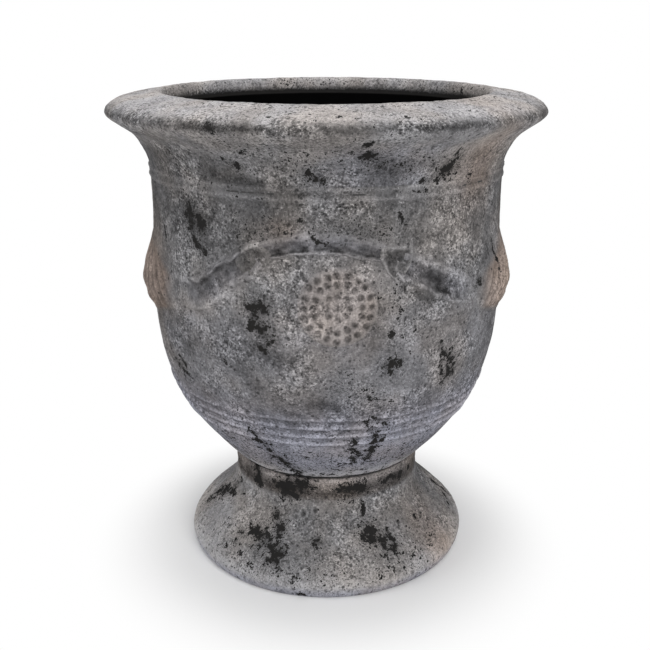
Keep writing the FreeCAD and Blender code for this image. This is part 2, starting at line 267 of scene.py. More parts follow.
def grey_wash():
    tree = bpy.data.node_groups.new("grey_wash", "ShaderNodeTree")
    for name in (*PAINTED, "speckle"):
        socket(tree, name.capitalize(), "INPUT", "Float", 0.0)
    for name, kind in (("Color", "Color"), ("Roughness", "Float"), ("Height", "Float")):
        socket(tree, name, "OUTPUT", kind)
    given = node(tree, "NodeGroupInput").outputs
    place = node(tree, "ShaderNodeTexCoord").outputs["Object"]
    cloud = swing(tree, noise(tree, place, 11, 3, 0.55), 0.34)
    blotch = swing(tree, noise(tree, place, 38, 4, 0.6), 0.4)
    mottle = noise(tree, place, 135, 3, 0.66)
    grain = noise(tree, place, 440, 3, 0.74)

    halo = smooth_step(tree, given["Bare"], 0.05, 0.4)
    crusty = smooth_step(tree, noise(tree, place, 26), 0.42, 0.62)
    crusty = maths(tree, "MAXIMUM", crusty, halo)
    patchy = times(tree, total(tree, 0.55, times(tree, crusty, 0.78)), given["Speckle"])
    speckle = times(tree, total(tree, swing(tree, mottle, 0.95), swing(tree, grain, 1.16)), patchy)
    crust = times(tree, smooth_step(tree, grain, 0.57, 0.66), 0.16)
    gaps = times(tree, smooth_step(tree, grain, 0.43, 0.35), 0.15)
    flakes = times(tree, maths(tree, "SUBTRACT", crust, gaps), patchy)
    # Painted wear, painted highlights and painted shade move the tone.
    painted_amount = times(tree, given["Rubbed"], WEAR_AND_SHADE_GAIN)
    tone = total(tree, MIDDLE_TONE, cloud, blotch, swing(tree, crusty, 0.07), speckle, flakes, painted_amount)
    ramp = node(tree, "ShaderNodeValToRGB", {"Fac": tone})
    stops = ramp.color_ramp.elements
    while len(stops) < len(WASH_STEPS):
        stops.new(0.5)
    for stop, (where, grey) in zip(stops, WASH_STEPS):
        stop.position = where
        stop.color = (*(grey * part for part in WASH_HUE), 1)

    drift = smooth_step(tree, noise(tree, place, 17, 2, 0.5), 0.38, 0.68)
    warm = maths(tree, "ADD", given["Warm"], times(tree, drift, 0.22), clamp=True)
    still = maths(tree, "SUBTRACT", 0.2, times(tree, drift, 0.2))
    cool = maths(tree, "ADD", given["Cool"], still, clamp=True)
    color = mixed(tree, warm, ramp.outputs["Color"], WARM_TINT, "MULTIPLY")
    color = mixed(tree, cool, color, COOL_TINT, "MULTIPLY")

    pits = {"Vector": place, "Scale": PITS_PER_METRE, "Randomness": 1.0}
    cells = node(tree, "ShaderNodeTexVoronoi", pits).outputs
    lucky = wire(tree, "ShaderNodeSeparateColor", {0: cells["Color"]})
    size = smooth_step(tree, lucky, 0.68, 1.0, 0.0, 0.42)
    pit = smooth_step(tree, maths(tree, "SUBTRACT", size, cells["Distance"]), 0.0, 0.08)
    color = mixed(tree, times(tree, pit, 0.65), color, PIT_COLOUR)

    fray = total(tree, swing(tree, mottle, 2.2), swing(tree, grain, 1.7))
    stray = times(tree, smooth_step(tree, noise(tree, place, 62), 0.62, 0.8), 0.42)
    gain = total(tree, 0.85, maths(tree, "MINIMUM", given["Bare"], 0.6))
    edge = total(tree, given["Bare"], stray, times(tree, fray, gain))
    chip = smooth_step(tree, edge, *CHIP_EDGE)
    black = mixed(tree, chip, color, BLACK_COAT)
    # Past DEEP_SHADE_BLACK the black coat turns into the painted shade of the deepest black.
    black = mixed(tree, smooth_step(tree, given["Bare"], *DEEP_SHADE_BLACK), black, SHADED_BLACK_INSIDE)
    rough = smooth_step(tree, chip, 0.0, 1.0, 0.92, 0.75)
    raised = total(tree, times(tree, grain, 0.14), times(tree, mottle, 0.5))
    eaten = total(tree, times(tree, pit, 0.45), times(tree, chip, 0.4))
    relief = maths(tree, "SUBTRACT", raised, eaten)
    node(tree, "NodeGroupOutput", {"Color": black, "Roughness": rough, "Height": relief})
    return tree


WASH = grey_wash()
print("wash group:", len(WASH.nodes), "nodes")

# %% [markdown]
# ## Three finishes
# The record names three finishes: the washed clay of the turned pieces, the clay of the applied relief,
# and the dark slip in the joints. The first two place the same wash group, and only the speckle and the
# depth of the grain differ, because the relief was handled and rubbed more. The slip is a plain dark
# paste with a little grain.

# %% Finishes
def washed(name, speckle, grain_depth):
    material, tree = blank(name)
    painted = {
        value.capitalize(): node(tree, "ShaderNodeAttribute", attribute_name=value).outputs["Fac"]
        for value in PAINTED
    }
    wash = node(tree, "ShaderNodeGroup", {**painted, "Speckle": speckle}, node_tree=WASH).outputs
    grain = {"Strength": 0.45, "Distance": grain_depth, "Height": wash["Height"]}
    clay = wire(tree, "ShaderNodeBsdfPrincipled", {
        "Base Color": wash["Color"],
        "Roughness": wash["Roughness"],
        "Normal": wire(tree, "ShaderNodeBump", grain),
        # No specular level in the painted deep shade.
        "Specular IOR Level": smooth_step(tree, painted["Bare"], *DEEP_SHADE_BLACK, 0.12, 0.0),
    })
    node(tree, "ShaderNodeOutputMaterial", {"Surface": clay})
    return material


washed_clay = washed("washed_clay", 1.0, 0.0022)
relief_clay = washed("relief_clay", 0.66, 0.0015)

luting_slip, tree = blank("luting_slip")
paste = noise(tree, node(tree, "ShaderNodeTexCoord").outputs["Object"], 260, 4, 0.65)
shade = node(tree, "ShaderNodeValToRGB", {"Fac": paste})
shade.color_ramp.elements[0].color = (0.013, 0.013, 0.014, 1)
shade.color_ramp.elements[1].color = (0.075, 0.072, 0.072, 1)
slip = wire(tree, "ShaderNodeBsdfPrincipled", {
    "Base Color": shade.outputs[0],
    "Roughness": 0.85,
    "Normal": wire(tree, "ShaderNodeBump", {"Strength": 0.5, "Distance": 0.0015, "Height": paste}),
})
node(tree, "ShaderNodeOutputMaterial", {"Surface": slip})
print("finishes:", [m.name for m in bpy.data.materials])

# %% [markdown]
# ## The turned pieces
# Foot, bowl, rim collar and neck band are turned on a wheel, so each is one section run round the axis.
# A Screw or Spin could do that from a drawn curve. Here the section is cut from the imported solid
# itself, so the piece lies exactly where the solid is, and a Geometry Nodes tree sweeps it round a
# guide circle and adds what a hand leaves in soft clay: slow swells, ripples and grit. The neck band is
# worn down first, until little more than its two fillets stands clear of the wall.

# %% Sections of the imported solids
CUT_ANGLE = math.radians(11.3)
FINE_STEP = 0.1 * MM


def section_of(name):
    """The closed outline of a turned node, cut through its axis: rows of radius and height."""
    solid = bmesh.new()
    solid.from_mesh(nodes[name].data)
    bmesh.ops.remove_doubles(solid, verts=solid.verts, dist=1e-6)
    side = Vector((-math.sin(CUT_ANGLE), math.cos(CUT_ANGLE), 0))
    along = Vector((math.cos(CUT_ANGLE), math.sin(CUT_ANGLE), 0))
    everything = solid.verts[:] + solid.edges[:] + solid.faces[:]
    cut = bmesh.ops.bisect_plane(solid, geom=everything, plane_co=(0, 0, 0), plane_no=side, dist=1e-8)
    links = {}
    for edge in cut["geom_cut"]:
        if isinstance(edge, bmesh.types.BMEdge) and all(v.co.dot(along) > 0 for v in edge.verts):
            first, second = edge.verts
            links.setdefault(first, []).append(second)
            links.setdefault(second, []).append(first)
    start = max(links, key=lambda v: v.co.dot(along))
    loop = [start, links[start][0]]
    while loop[-1] is not start:
        loop.append(next(v for v in links[loop[-1]] if v is not loop[-2]))
    rows = np.array([(v.co.dot(along), v.co.z) for v in loop[:-1]])
    solid.free()
    ahead = np.roll(rows, -1, axis=0)
    area = np.sum(rows[:, 0] * ahead[:, 1] - ahead[:, 0] * rows[:, 1])
    return rows if area > 0 else rows[::-1]


def respaced(rows, step):
    """Points round a closed outline, as far apart as step(radius, height) says at each place."""
    closed = np.vstack([rows, rows[:1]])
    travelled = np.concatenate([[0], np.cumsum(np.linalg.norm(np.diff(closed, axis=0), axis=1))])
    fine = np.arange(0, travelled[-1], FINE_STEP)
    radius, height = (np.interp(fine, travelled, closed[:, k]) for k in (0, 1))
    count = np.concatenate([[0], np.cumsum(FINE_STEP / step(radius, height)[:-1])])
    number = int(round(count[-1]))
    chosen = np.interp(np.arange(number) * count[-1] / number, count, fine)
    return np.column_stack([np.interp(chosen, fine, radius), np.interp(chosen, fine, height)])


TURNED = ("foot", "foot_joint_slip", "bowl", "rim_collar", "neck_band")
sections = {name: section_of(name) for name in TURNED}
for name, rows in sections.items():
    print("section of", name, len(rows), "points, radius to", round(rows[:, 0].max(), 4))

# %% Wheel tree
LUMP_GAIN = 3.0
LUMP_SCALES = {"Swell": 21.0, "Ripple": 78.0, "Grit": 205.0}
LUMP_SIZES = {"Swell": 0.0006, "Ripple": 0.00035, "Grit": 0.00017}
FLOOR_BLEND = 0.006
GUIDE_RADIUS = 0.1


def clay_lumps():
    """Swells, ripples and grit as one offset in metres. It depends on place alone, so neighbours agree."""
    tree = bpy.data.node_groups.new("clay_lumps", "GeometryNodeTree")
    for name in LUMP_SCALES:
        socket(tree, name, "INPUT", "Float", 0.0)
    socket(tree, "Offset", "OUTPUT", "Float")
    given = node(tree, "NodeGroupInput").outputs
    place = wire(tree, "GeometryNodeInputPosition")
    waves = []
    for name, scale in LUMP_SCALES.items():
        wave = swing(tree, noise(tree, place, scale, 2, 0.5), LUMP_GAIN)
        waves.append(times(tree, wave, given[name]))
    node(tree, "NodeGroupOutput", {"Offset": total(tree, *waves)})
    return tree


def clay_tree(name, sizes):
    """A geometry tree that takes a geometry, some sizes and a finish. A whole number is a count."""
    tree = bpy.data.node_groups.new(name, "GeometryNodeTree")
    socket(tree, "Geometry", "INPUT", "Geometry")
    for given, value in sizes.items():
        socket(tree, given, "INPUT", "Int" if isinstance(value, int) else "Float", value)
    socket(tree, "Finish", "INPUT", "Material")
    socket(tree, "Geometry", "OUTPUT", "Geometry")
    return tree, node(tree, "NodeGroupInput").outputs


def moved(tree, geometry, offset):
    return wire(tree, "GeometryNodeSetPosition", {"Geometry": geometry, "Offset": offset})


def finished(tree, geometry, finish):
    """Ends a tree with real geometry in its finish."""
    real = wire(tree, "GeometryNodeRealizeInstances", {"Geometry": geometry})
    dressed = wire(tree, "GeometryNodeSetMaterial", {"Geometry": real, "Material": finish})
    node(tree, "NodeGroupOutput", {"Geometry": dressed})


def roughened(tree, given, geometry, share=1.0):
    """Pushes a surface along its normals by the lumps less the sink, and smooths its shading."""
    rough = wire(tree, "GeometryNodeGroup", {name: given[name] for name in LUMP_SIZES}, node_tree=LUMPS)
    depth = times(tree, maths(tree, "SUBTRACT", rough, given["Sink"]), share)
    push = scaled(tree, wire(tree, "GeometryNodeInputNormal"), depth)
    return wire(tree, "GeometryNodeSetShadeSmooth", {"Geometry": moved(tree, geometry, push)})


def potters_wheel():
    """Sweeps a flat section round a guide circle, roughens it and gives it its finish."""
    sizes = {"Guide Radius": GUIDE_RADIUS, **LUMP_SIZES, "Sink": 0.0005, "Segments": 500}
    tree, given = clay_tree("potters_wheel", sizes)
    section = wire(tree, "GeometryNodeMeshToCurve", {"Mesh": given["Geometry"]})
    ring = {"Resolution": given["Segments"], "Radius": given["Guide Radius"]}
    guide = wire(tree, "GeometryNodeCurvePrimitiveCircle", ring)
    upright = wire(tree, "GeometryNodeSetCurveNormal", {"Curve": guide}, mode="Z_UP")
    swept = wire(tree, "GeometryNodeCurveToMesh", {"Curve": upright, "Profile Curve": section})
    outward = wire(tree, "GeometryNodeFlipFaces", {"Mesh": swept})
    place = wire(tree, "GeometryNodeInputPosition")
    height = node(tree, "ShaderNodeSeparateXYZ", {0: place}).outputs["Z"]
    above = smooth_step(tree, height, 0.0, FLOOR_BLEND)
    finished(tree, roughened(tree, given, outward, above), given["Finish"])
    return tree


LUMPS = clay_lumps()
WHEEL = potters_wheel()
print("trees:", [(g.name, len(g.nodes)) for g in (LUMPS, WHEEL)])

# %% Turning helpers
def grow(piece, tree, in_box=True, **values):
    """Runs a tree on a piece and keeps the result as a plain mesh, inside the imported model's box."""
    modifier = piece.modifiers.new(tree.name, "NODES")
    modifier.node_group = tree
    for item in tree.interface.items_tree:
        if item.in_out == "INPUT" and item.name in values:
            modifier[item.identifier] = values[item.name]
    graph = bpy.context.evaluated_depsgraph_get()
    made = bpy.data.meshes.new_from_object(piece.evaluated_get(graph))
    piece.modifiers.clear()
    old, piece.data = piece.data, made
    made.name = piece.name
    bpy.data.meshes.remove(old)
    if in_box:
        move_points(piece, np.clip(points_of(piece), cad_box[0], cad_box[1]))


def points_of(piece, what="co"):
    flat = np.zeros(len(piece.data.vertices) * 3)
    piece.data.vertices.foreach_get(what, flat)
    return flat.reshape(-1, 3)


def move_points(piece, points):
    piece.data.vertices.foreach_set("co", np.asarray(points, np.float32).ravel())
    piece.data.update()


def turn(name, source, segments, step, finish, **sizes):
    rows = respaced(sections[source], step)
    flat = [(radius - GUIDE_RADIUS, -height, 0) for radius, height in rows]
    outline = bpy.data.meshes.new(name)
    outline.from_pydata(flat, [(i, (i + 1) % len(flat)) for i in range(len(flat))], [])
    piece = placed(name, outline)
    grow(piece, WHEEL, **{"Guide Radius": GUIDE_RADIUS, "Segments": segments, "Finish": finish}, **sizes)
    print(name, len(piece.data.polygons), "faces")
    return piece


def outermost(source):
    """The radius of a section's outside at any height."""
    rows = sections[source]
    levels = np.linspace(rows[:, 1].min(), rows[:, 1].max(), 400)
    closed = np.vstack([rows, rows[:1]])
    widest = np.zeros(len(levels))
    for (r0, z0), (r1, z1) in zip(closed, closed[1:]):
        if z0 != z1:
            here = (levels >= min(z0, z1)) & (levels <= max(z0, z1))
            share = (levels[here] - z0) / (z1 - z0)
            widest[here] = np.maximum(widest[here], r0 + (r1 - r0) * share)
    return lambda height: np.interp(height, levels, widest)

# %% Turn the pieces
CORDED = (0.176, 0.22)
FILLETS = (0.4372, 0.4278)
FILLET_RISE = 0.8 * MM
FILLET_HALF_WIDTH = 1.7 * MM
bowl_wall = outermost("bowl")
foot_wall = outermost("foot")


def bowl_step(radius, height):
    outside = radius > bowl_wall(height) - 3 * MM
    corded = outside & (height > CORDED[0]) & (height < CORDED[1])
    return np.where(corded, 1.0 * MM, np.where(outside & (height > 0.118), 2.5 * MM, 20 * MM))


def foot_step(radius, height):
    return np.where(radius > foot_wall(height) - 3 * MM, 1.5 * MM, 9 * MM)


def rim_step(radius, height):
    hidden = (radius < 0.178) & (height < 0.478)
    return np.where(hidden, 8 * MM, 1.5 * MM)


def even_step(size):
    return lambda radius, height: np.full(len(radius), size)


def worn_band(rows):
    """The neck band worn down: its edges run out into the wall and only two low fillets stay."""
    radius, height = rows.T
    back = np.array([radius[np.abs(height - level) < 1.2 * MM].min() for level in height])
    from_edge = np.minimum(height - height.min(), height.max() - height)
    proud = -0.7 * MM + 0.8 * MM * np.clip(from_edge / (3.5 * MM), 0, 1)
    for level in FILLETS:
        proud += FILLET_RISE * np.exp(-(((height - level) / FILLET_HALF_WIDTH) ** 2))
    outside = radius > back + 0.6 * MM
    return np.column_stack([np.where(outside, back + proud, back - 3 * MM), height])


bowl = turn("urn_bowl", "bowl", 480, bowl_step, washed_clay, Ripple=0.00028)
foot = turn("urn_foot", "foot", 600, foot_step, washed_clay)
rim = turn("urn_rim", "rim_collar", 640, rim_step, washed_clay, Sink=0.0002)
sections["neck_band"] = worn_band(respaced(sections["neck_band"], even_step(0.4 * MM)))
band = turn("urn_neck_band", "neck_band", 640, even_step(0.7 * MM), relief_clay, Sink=0.0002)
seam = turn("urn_foot_seam", "foot_joint_slip", 300, even_step(1.5 * MM), luting_slip, Sink=0.0008)

# %% [markdown]
# ## Paint: chips, worn edges, stains, painted light and shade
# On the real urn the wash has flaked off in spots and strokes that show the black coat, the rims and
# ledges are rubbed pale, and stains tint it warm or cool. These places were found on the
# photograph. They could be painted by hand with a brush. Here each chip, spray of specks or crusty
# patch is a short stroke of points (azimuth in degrees, height and half width in millimetres), and the
# four values are worked out at every point of a piece.
# Not all of it is wear or stain: rubbed also holds painted highlights and painted shade, bare the painted
# deep black inside, and cool partly painted bounce light from the floor.

# %% Painting helpers
THINNEST = 1.6
CHIP_SIDES = (0.4, 0.7)


def around(points):
    """Azimuth in degrees from the front, positive to the right, with height and radius in millimetres."""
    azimuth = np.degrees(np.arctan2(points[:, 0], -points[:, 1]))
    return azimuth, points[:, 2] / MM, np.hypot(points[:, 0], points[:, 1]) / MM


def arc(azimuth, start, radius):
    """The way round the wall from a starting azimuth, the short way."""
    return np.radians((azimuth - start + 180) % 360 - 180) * radius


def step(value, low, high):
    share = np.clip((value - low) / (high - low), 0, 1)
    return share * share * (3 - 2 * share)


def bell(value, middle, half_width):
    return np.exp(-(((value - middle) / half_width) ** 2))


def strokes_field(points, strokes):
    """0.95 along the middle of a stroke, 0.5 at its edge, and a halo that fades to nothing outside."""
    azimuth, height, radius = around(points)
    field = np.zeros(len(points))
    for stroke in strokes:
        stops = np.reshape(stroke, (-1, 3))
        ends = stops[1:] if len(stops) > 1 else stops
        for (az0, z0, w0), (az1, z1, w1) in zip(stops, ends):
            along = arc(azimuth, az0, radius)
            up = height - z0
            reach = np.radians(az1 - az0) * radius
            rise = z1 - z0
            share = np.clip((along * reach + up * rise) / np.maximum(reach**2 + rise**2, 1e-6), 0, 1)
            away = np.hypot(along - share * reach, up - share * rise)
            away /= np.maximum(w0 + (w1 - w0) * share, THINNEST)
            field = np.maximum(field, np.where(away < 1, 0.95 - 0.45 * away, 0.5 - 0.25 * (away - 1)))
    return field


def bare_field(points):
    """Bare in the chips, half bare in the sprays of specks, and a little bare where the wash is crusty."""
    layers = ((CHIPS, 1.0), (SPRAYS, 0.68), (CRUSTS, 0.3))
    return np.max([share * strokes_field(points, strokes) for strokes, share in layers], axis=0)


def paint(piece, **values):
    for name in PAINTED:
        field = np.zeros(len(piece.data.vertices), np.float32)
        field[:] = values.get(name, 0.0)
        piece.data.attributes.new(name, "FLOAT", "POINT").data.foreach_set("value", field)
    print("painted", piece.name)


def scattered(seed, count, heights, widths, keep_clear=75):
    """Strokes for the sides and the back, which the photograph does not show."""
    dice = np.random.default_rng(seed)
    strokes = []
    for _ in range(count):
        azimuth = dice.uniform(keep_clear, 360 - keep_clear)
        height = dice.uniform(*heights)
        width = dice.uniform(*widths)
        lean = dice.uniform(-4, 4)
        end = (azimuth + lean, height - dice.uniform(0, 14), width * dice.uniform(0.5, 1))
        strokes.append((azimuth, height, width, *end))
    return strokes

# %% Chips, sprays, crusts and smudges
# A row is one stroke: azimuth, height and half width, for each of its stops in turn.
CHIPS = [
    # neck
    (9, 467, 4, 11, 468, 4), (9, 479, 2, 10, 481, 1.5), (34, 449, 7, 36, 451, 6.5),
    (-3, 448, 2.5, -1, 446, 3), (-5, 451, 2.8), (-25, 458, 2.5, -24, 456, 3), (-28, 462, 1.5),
    (36, 465, 1, 36, 469, 1), (27, 442, 2, 29, 441, 2), (-26, 492, 4, -25, 491, 3),
    # wall
    (-45, 412, 4, -44, 405, 6.5, -43, 396, 5), (-40, 404, 4, -39, 395, 4.6),
    (-43, 386, 1.6, -42, 380, 2.2, -40, 376, 2.6, -38, 373, 2.8), (-60, 384, 1.2, -59, 378, 1.6),
    (-5, 399, 0.9, -3, 392, 1.4, 0, 389, 1.6), (-7, 410, 1.3),
    (21, 413, 1.2, 22, 405, 1.4, 23, 402, 1.6), (63, 371, 1, 65, 357, 1.4, 68, 336, 0.8),
    (53, 334, 3.2),
    # belly
    (-23, 325, 2.4, -21, 329, 3.8, -19, 331, 3, -18, 325, 3.4), (-22, 318, 3, -20, 318, 2.5),
    (-22, 307, 2.2, -19, 306, 3.2, -18, 300, 3), (-20, 292, 2, -18, 286, 2.4),
    (-17, 292, 1.4, -15, 297, 1.8), (-24, 331, 1.5), (-32, 268, 2), (19, 303, 2.6), (22, 299, 1.6),
    (17, 271, 2.5, 21, 272, 3.5), (19, 264, 2.8), (36, 285, 1.2, 37, 274, 2), (38, 273, 3, 42, 264, 3),
    (37, 264, 1.8, 38, 251, 1.6), (40, 261, 2.2, 41, 245, 2.8), (43, 257, 1.8, 43, 245, 1.4),
    (39, 239, 2.4), (-60, 257, 1.3), (-54, 255, 1.6, -51, 249, 2), (-54, 233, 1.6),
    (14.5, 197, 2.6, 17, 189, 3.6, 17.3, 181, 4.6, 17.5, 166, 5.2, 17.5, 150, 4.2),
    (19, 205, 2.8, 20.5, 202, 2.2), (15, 215, 1.4, 17.5, 210, 2), (11, 156, 3.4, 12, 148, 3),
    (7, 169, 1.6), (10, 186, 2.8, 10.5, 178, 2.4), (8, 146, 1.8), (-22, 128, 2.4),
    (-25, 172, 2, -23, 162, 3.2), (-21, 152, 5, -19, 140, 6.5), (-17.5, 130, 6, -15, 122, 5),
    (-24, 150, 3),
    # foot
    (-30, 98, 6, -22, 100, 10, -14, 104, 8), (-24, 91, 4, -17, 90, 3),
    (11, 101, 6, 16, 98, 9, 21, 99, 6), (-46, 109, 4.5, -46, 98, 5.5, -45, 91, 3.5),
    (38, 100, 3, 42, 104, 3), (52, 101, 3, 50, 97, 2), (62, 100, 2.6),
    (21, 85, 1.4, 22, 77, 1.5, 21, 71, 1.2), (-66, 64, 1.6), (-58, 71, 1.5),
    (-84, 50, 4, -78, 57, 6, -70, 64, 4), (-37, 50, 3, -32, 49, 3.2), (-26, 55, 2.4, -24, 51, 3.2),
    (-27, 43, 3, -23, 40, 6.5, -20, 39, 4), (-26, 33, 2.6, -21, 33, 3), (-46, 44, 2.4, -44, 44, 1.6),
    (-45, 36, 2), (-53, 44, 1.6), (-45, 24, 1.8), (-5, 51, 3.4), (18, 51, 3, 23, 57, 4, 23, 51, 5),
    (26, 47, 2, 27, 41, 2.6), (32, 52, 2, 33, 44, 3, 31, 36, 2), (52, 53, 2.8), (57, 52, 1.4),
    (94, 50, 1.2), (91, 38, 1.2, 88, 36, 1.2), (84, 34, 1.2), (-11, 4, 2, -9, 5, 1.4), (-13, 24, 1.6),
    (27, 32, 1.6), (40, 55, 1.6),
]
SPRAYS = [
    (-27, 188, 6, -24, 166, 9, -20, 145, 12, -16, 124, 10), (10, 176, 6, 13, 158, 5),
    (12, 210, 4, 19, 190, 6, 18, 158, 5), (-84, 37, 5, -82, 46, 6, -77, 58, 4),
    (-77, 60, 4, -67, 79, 4), (-40, 50, 6, -24, 42, 9, -22, 30, 6), (20, 54, 8, 32, 42, 7),
    (34, 104, 5, 52, 100, 6), (-21, 326, 9, -18, 300, 7), (40, 268, 6, 41, 246, 6), (18, 270, 6),
    (-44, 404, 7, -40, 392, 5), (25, 433, 2, 29, 433, 2), (10, 466, 6), (34, 450, 7), (-4, 448, 5),
    (-24, 56, 6, -30, 68, 5), (-58, 248, 5, -50, 236, 4),
]
CRUSTS = [
    (4, 472, 14, 28, 458, 16, 44, 442, 14), (-24, 471, 14, -4, 463, 14),
    (-26, 398, 8, 0, 403, 8, 18, 396, 8), (19, 336, 12, 25, 300, 14), (6, 252, 14, 16, 232, 12),
    (-20, 150, 16, 0, 155, 18, 22, 160, 18), (-50, 30, 14, 0, 22, 12, 50, 30, 14),
]
DARK_SMUDGES = [
    (14, 340, 2, 15, 324, 2), (30, 358, 5, 34, 347, 6.5, 36, 337, 5), (26, 339, 3, 31, 330, 3),
    (53, 334, 4), (-34, 492, 3, -14, 493, 2), (20, 493, 2, 32, 492, 3), (-22, 283, 6, -10, 276, 7),
    (-25, 262, 8, -22, 248, 6), (-5, 232, 6, 3, 228, 5), (14, 462, 10, 18, 452, 8),
    (-12, 438, 5, 0, 433, 5), (-33, 446, 6, -18, 440, 5),
]
PALE_SMUDGES = [
    (46, 338, 12, 50, 302, 14), (-46, 320, 9, -42, 300, 9), (24, 355, 2, 30, 349, 2),
    (-12, 401, 3, -5, 400, 3), (28, 372, 8, 32, 380, 10), (36, 399, 12, 44, 380, 12),
    (-28, 330, 8, -36, 322, 8), (12, 262, 14, 18, 240, 12), (17, 345, 10, 22, 318, 14, 25, 290, 10),
    (14, 200, 12, 24, 176, 12), (-52, 341, 3, -44, 338, 3),
]
CHIPS += scattered(4, 26, (240, 470), (1.5, 4.5))
CHIPS += scattered(9, 14, (130, 240), (1.5, 3.5))
CHIPS += scattered(17, 26, (20, 112), (1.5, 6.0), keep_clear=95)
print("chips:", len(CHIPS))

# %% Stains and smudges
STAINS = (
    (49, 450, 30, 40, 0.7), (-12, 401, 22, 12, 0.35), (5, 331, 36, 36, 0.4),
    (-72, 332, 36, 36, 0.9), (78, 338, 32, 40, 0.8), (56, 28, 30, 30, 0.6),
)


def warm_stains(points):
    azimuth, height, radius = around(points)
    field = np.zeros(len(points))
    for az, z, half_width, half_height, strength in STAINS:
        along = arc(azimuth, az, radius)
        field += strength * bell(along, 0, half_width) * bell(height, z, half_height)
    return np.clip(field, 0, 1)


def smudges(points):
    """Where the wash lies thick or thin in broad soft patches."""
    layers = ((PALE_SMUDGES, 0.35), (DARK_SMUDGES, -0.55))
    return sum(gain * step(strokes_field(points, strokes), 0.15, 0.9) for strokes, gain in layers)


def sunk(piece, depth, amount):
    """Presses the surface in along its normals, by depth in millimetres where the amount is one."""
    inward = points_of(piece, "normal") * (amount * depth * MM)[:, None]
    move_points(piece, points_of(piece) - inward)


def surface(piece):
    """A piece's points, their azimuth, height and radius, and how bare each one is."""
    points = points_of(piece)
    return (points, *around(points), bare_field(points))

# %% Paint the bowl
CORD_LINES = (213, 203, 192, 181)
points, azimuth, height, radius, chips = surface(bowl)
inside = (radius < bowl_wall(points[:, 2]) / MM - 6) & (height > 125)
cords = sum(bell(height, level, 1.7) for level in CORD_LINES)
grooves = sum(bell(height, level - 4, 1.8) for level in CORD_LINES)
fading = 0.7 + 0.3 * np.sin(np.radians(azimuth) * 7 + 1.0)
# Cords painted paler and the grooves just below them darker. The lower belly is painted lighter, most of
# all near its lower edge at 120 mm: painted bounce light from the floor on the underside. Above about 380
# mm the wall is painted darker.
rubbed = fading * (0.34 * cords - 0.28 * grooves) + 1.15 * bell(height, 120, 9)
rubbed += 0.1 * step(height, 330, 260) + 0.5 * step(height, 225, 170) - 0.24 * step(height, 370, 395)
rubbed -= 0.18 * bell(azimuth, -50, 14) * bell(height, 268, 24)
paint(
    bowl,
    bare=np.where(inside, 1.2, np.maximum(chips, 0.3 * step(height, 178, 164))),
    rubbed=rubbed + smudges(points),
    warm=warm_stains(points),
    # Cooler on the lower belly: painted bounce light from the floor.
    cool=(0.18 * step(height, 350, 290) + 0.6 * step(height, 250, 200)) * step(height, 112, 148),
)
sunk(bowl, 0.6, step(chips, *CHIP_SIDES) * ~inside)

# %% Paint the rim
MOUTH_RADIUS = 172
points, azimuth, height, radius, chips = surface(rim)
mouth = radius < MOUTH_RADIUS
# Painted shade: the deepest black inside the mouth, below its inner edge, over the black coat.
inside = (0.9 * step(height, 499, 492) + 1.1 * step(height, 495, 489)) * mouth
lip = step(height, 494.5, 502)
# Painted light and shade: the neck lighter on the right and darker on the left, as the light falls.
side_light_and_shade = (0.22 * bell(azimuth, 52, 18) - 0.2 * bell(azimuth, -56, 26)) * step(height, 488, 478)
under_lip = step(height, 491, 486) * step(height, 458, 472) * (radius > 185)
# The lip is rubbed pale. Inside the mouth the black coat is painted darker downwards, as painted shade.
rubbed = 0.69 * lip - (0.22 + 1.1 * step(height, 502, 493)) * mouth + side_light_and_shade
# Painted light under the lip against the lip's shade on the neck, and a dark line along the lip's lower
# edge.
rubbed += 0.52 * under_lip - 0.35 * bell(height, 493.5, 2.4)
paint(
    rim,
    bare=np.maximum(np.maximum(chips, inside), 0.2 * lip),
    rubbed=rubbed + smudges(points),
    warm=np.clip(warm_stains(points) + 0.06 * lip, 0, 1),
    cool=0.3 * step(azimuth, -10, 10) * step(azimuth, 40, 20) * step(height, 485, 470),
)
sunk(rim, 0.6, step(chips, *CHIP_SIDES))

# %% Paint the foot
DRIPS = ((-13.3, 72, 3.6), (-6.6, 76, 3.2), (31.3, 76, 3.6), (22.3, 74, 3.0))
points, azimuth, height, radius, chips = surface(foot)
outer = radius > foot_wall(points[:, 2]) / MM - 4
hollow = np.zeros(len(points))
for az, z, size in DRIPS:
    along = np.radians(azimuth - az) * radius
    away = np.hypot(along, (height - z) * np.where(height > z, 0.6, 1.0)) / size
    hollow += outer * (bell(away, 0, 0.62) - 0.5 * bell(away, 1.15, 0.3))
sunk(foot, 1.3, hollow)
sunk(foot, 0.7, step(chips, *CHIP_SIDES) * outer)
collar = step(height, 86, 92)
sunk(foot, 1.0, outer * (bell(height, 93, 3.0) - 0.7 * bell(height, 109, 3.0)))
# Darker above about 60 mm, and lighter towards the bottom edge: painted bounce light from the floor.
rubbed = 0.08 - 0.16 * step(height, 50, 70) + 0.75 * step(height, 38, 8)
# Painted light on the ring at the collar's top, brightest at the front, against the bowl's shadow on it,
# and painted shadow on the collar's lower part.
rubbed += (0.25 + 0.6 * bell(azimuth, 4, 22)) * bell(height, 109, 5) - 0.55 * bell(height, 95, 8)
rubbed += 1.2 * np.clip(-hollow, 0, 1) - 0.95 * np.clip(hollow, 0, 1)
# Painted highlight on the shelf under the collar, and lighter on the left below the collar.
rubbed += 0.3 * bell(height, 84, 3) + 0.55 * step(azimuth, -30, -60) * (1 - collar)
paint(
    foot,
    # Inside the foot, the deepest black: painted shade.
    bare=np.where(outer, chips, 2.0),
    rubbed=rubbed,
    warm=np.clip(warm_stains(points) + 0.35 * collar, 0, 1),
    # Cooler at the bottom edge: painted bounce light from the floor.
    cool=0.6 * step(height, 16, 6),
)

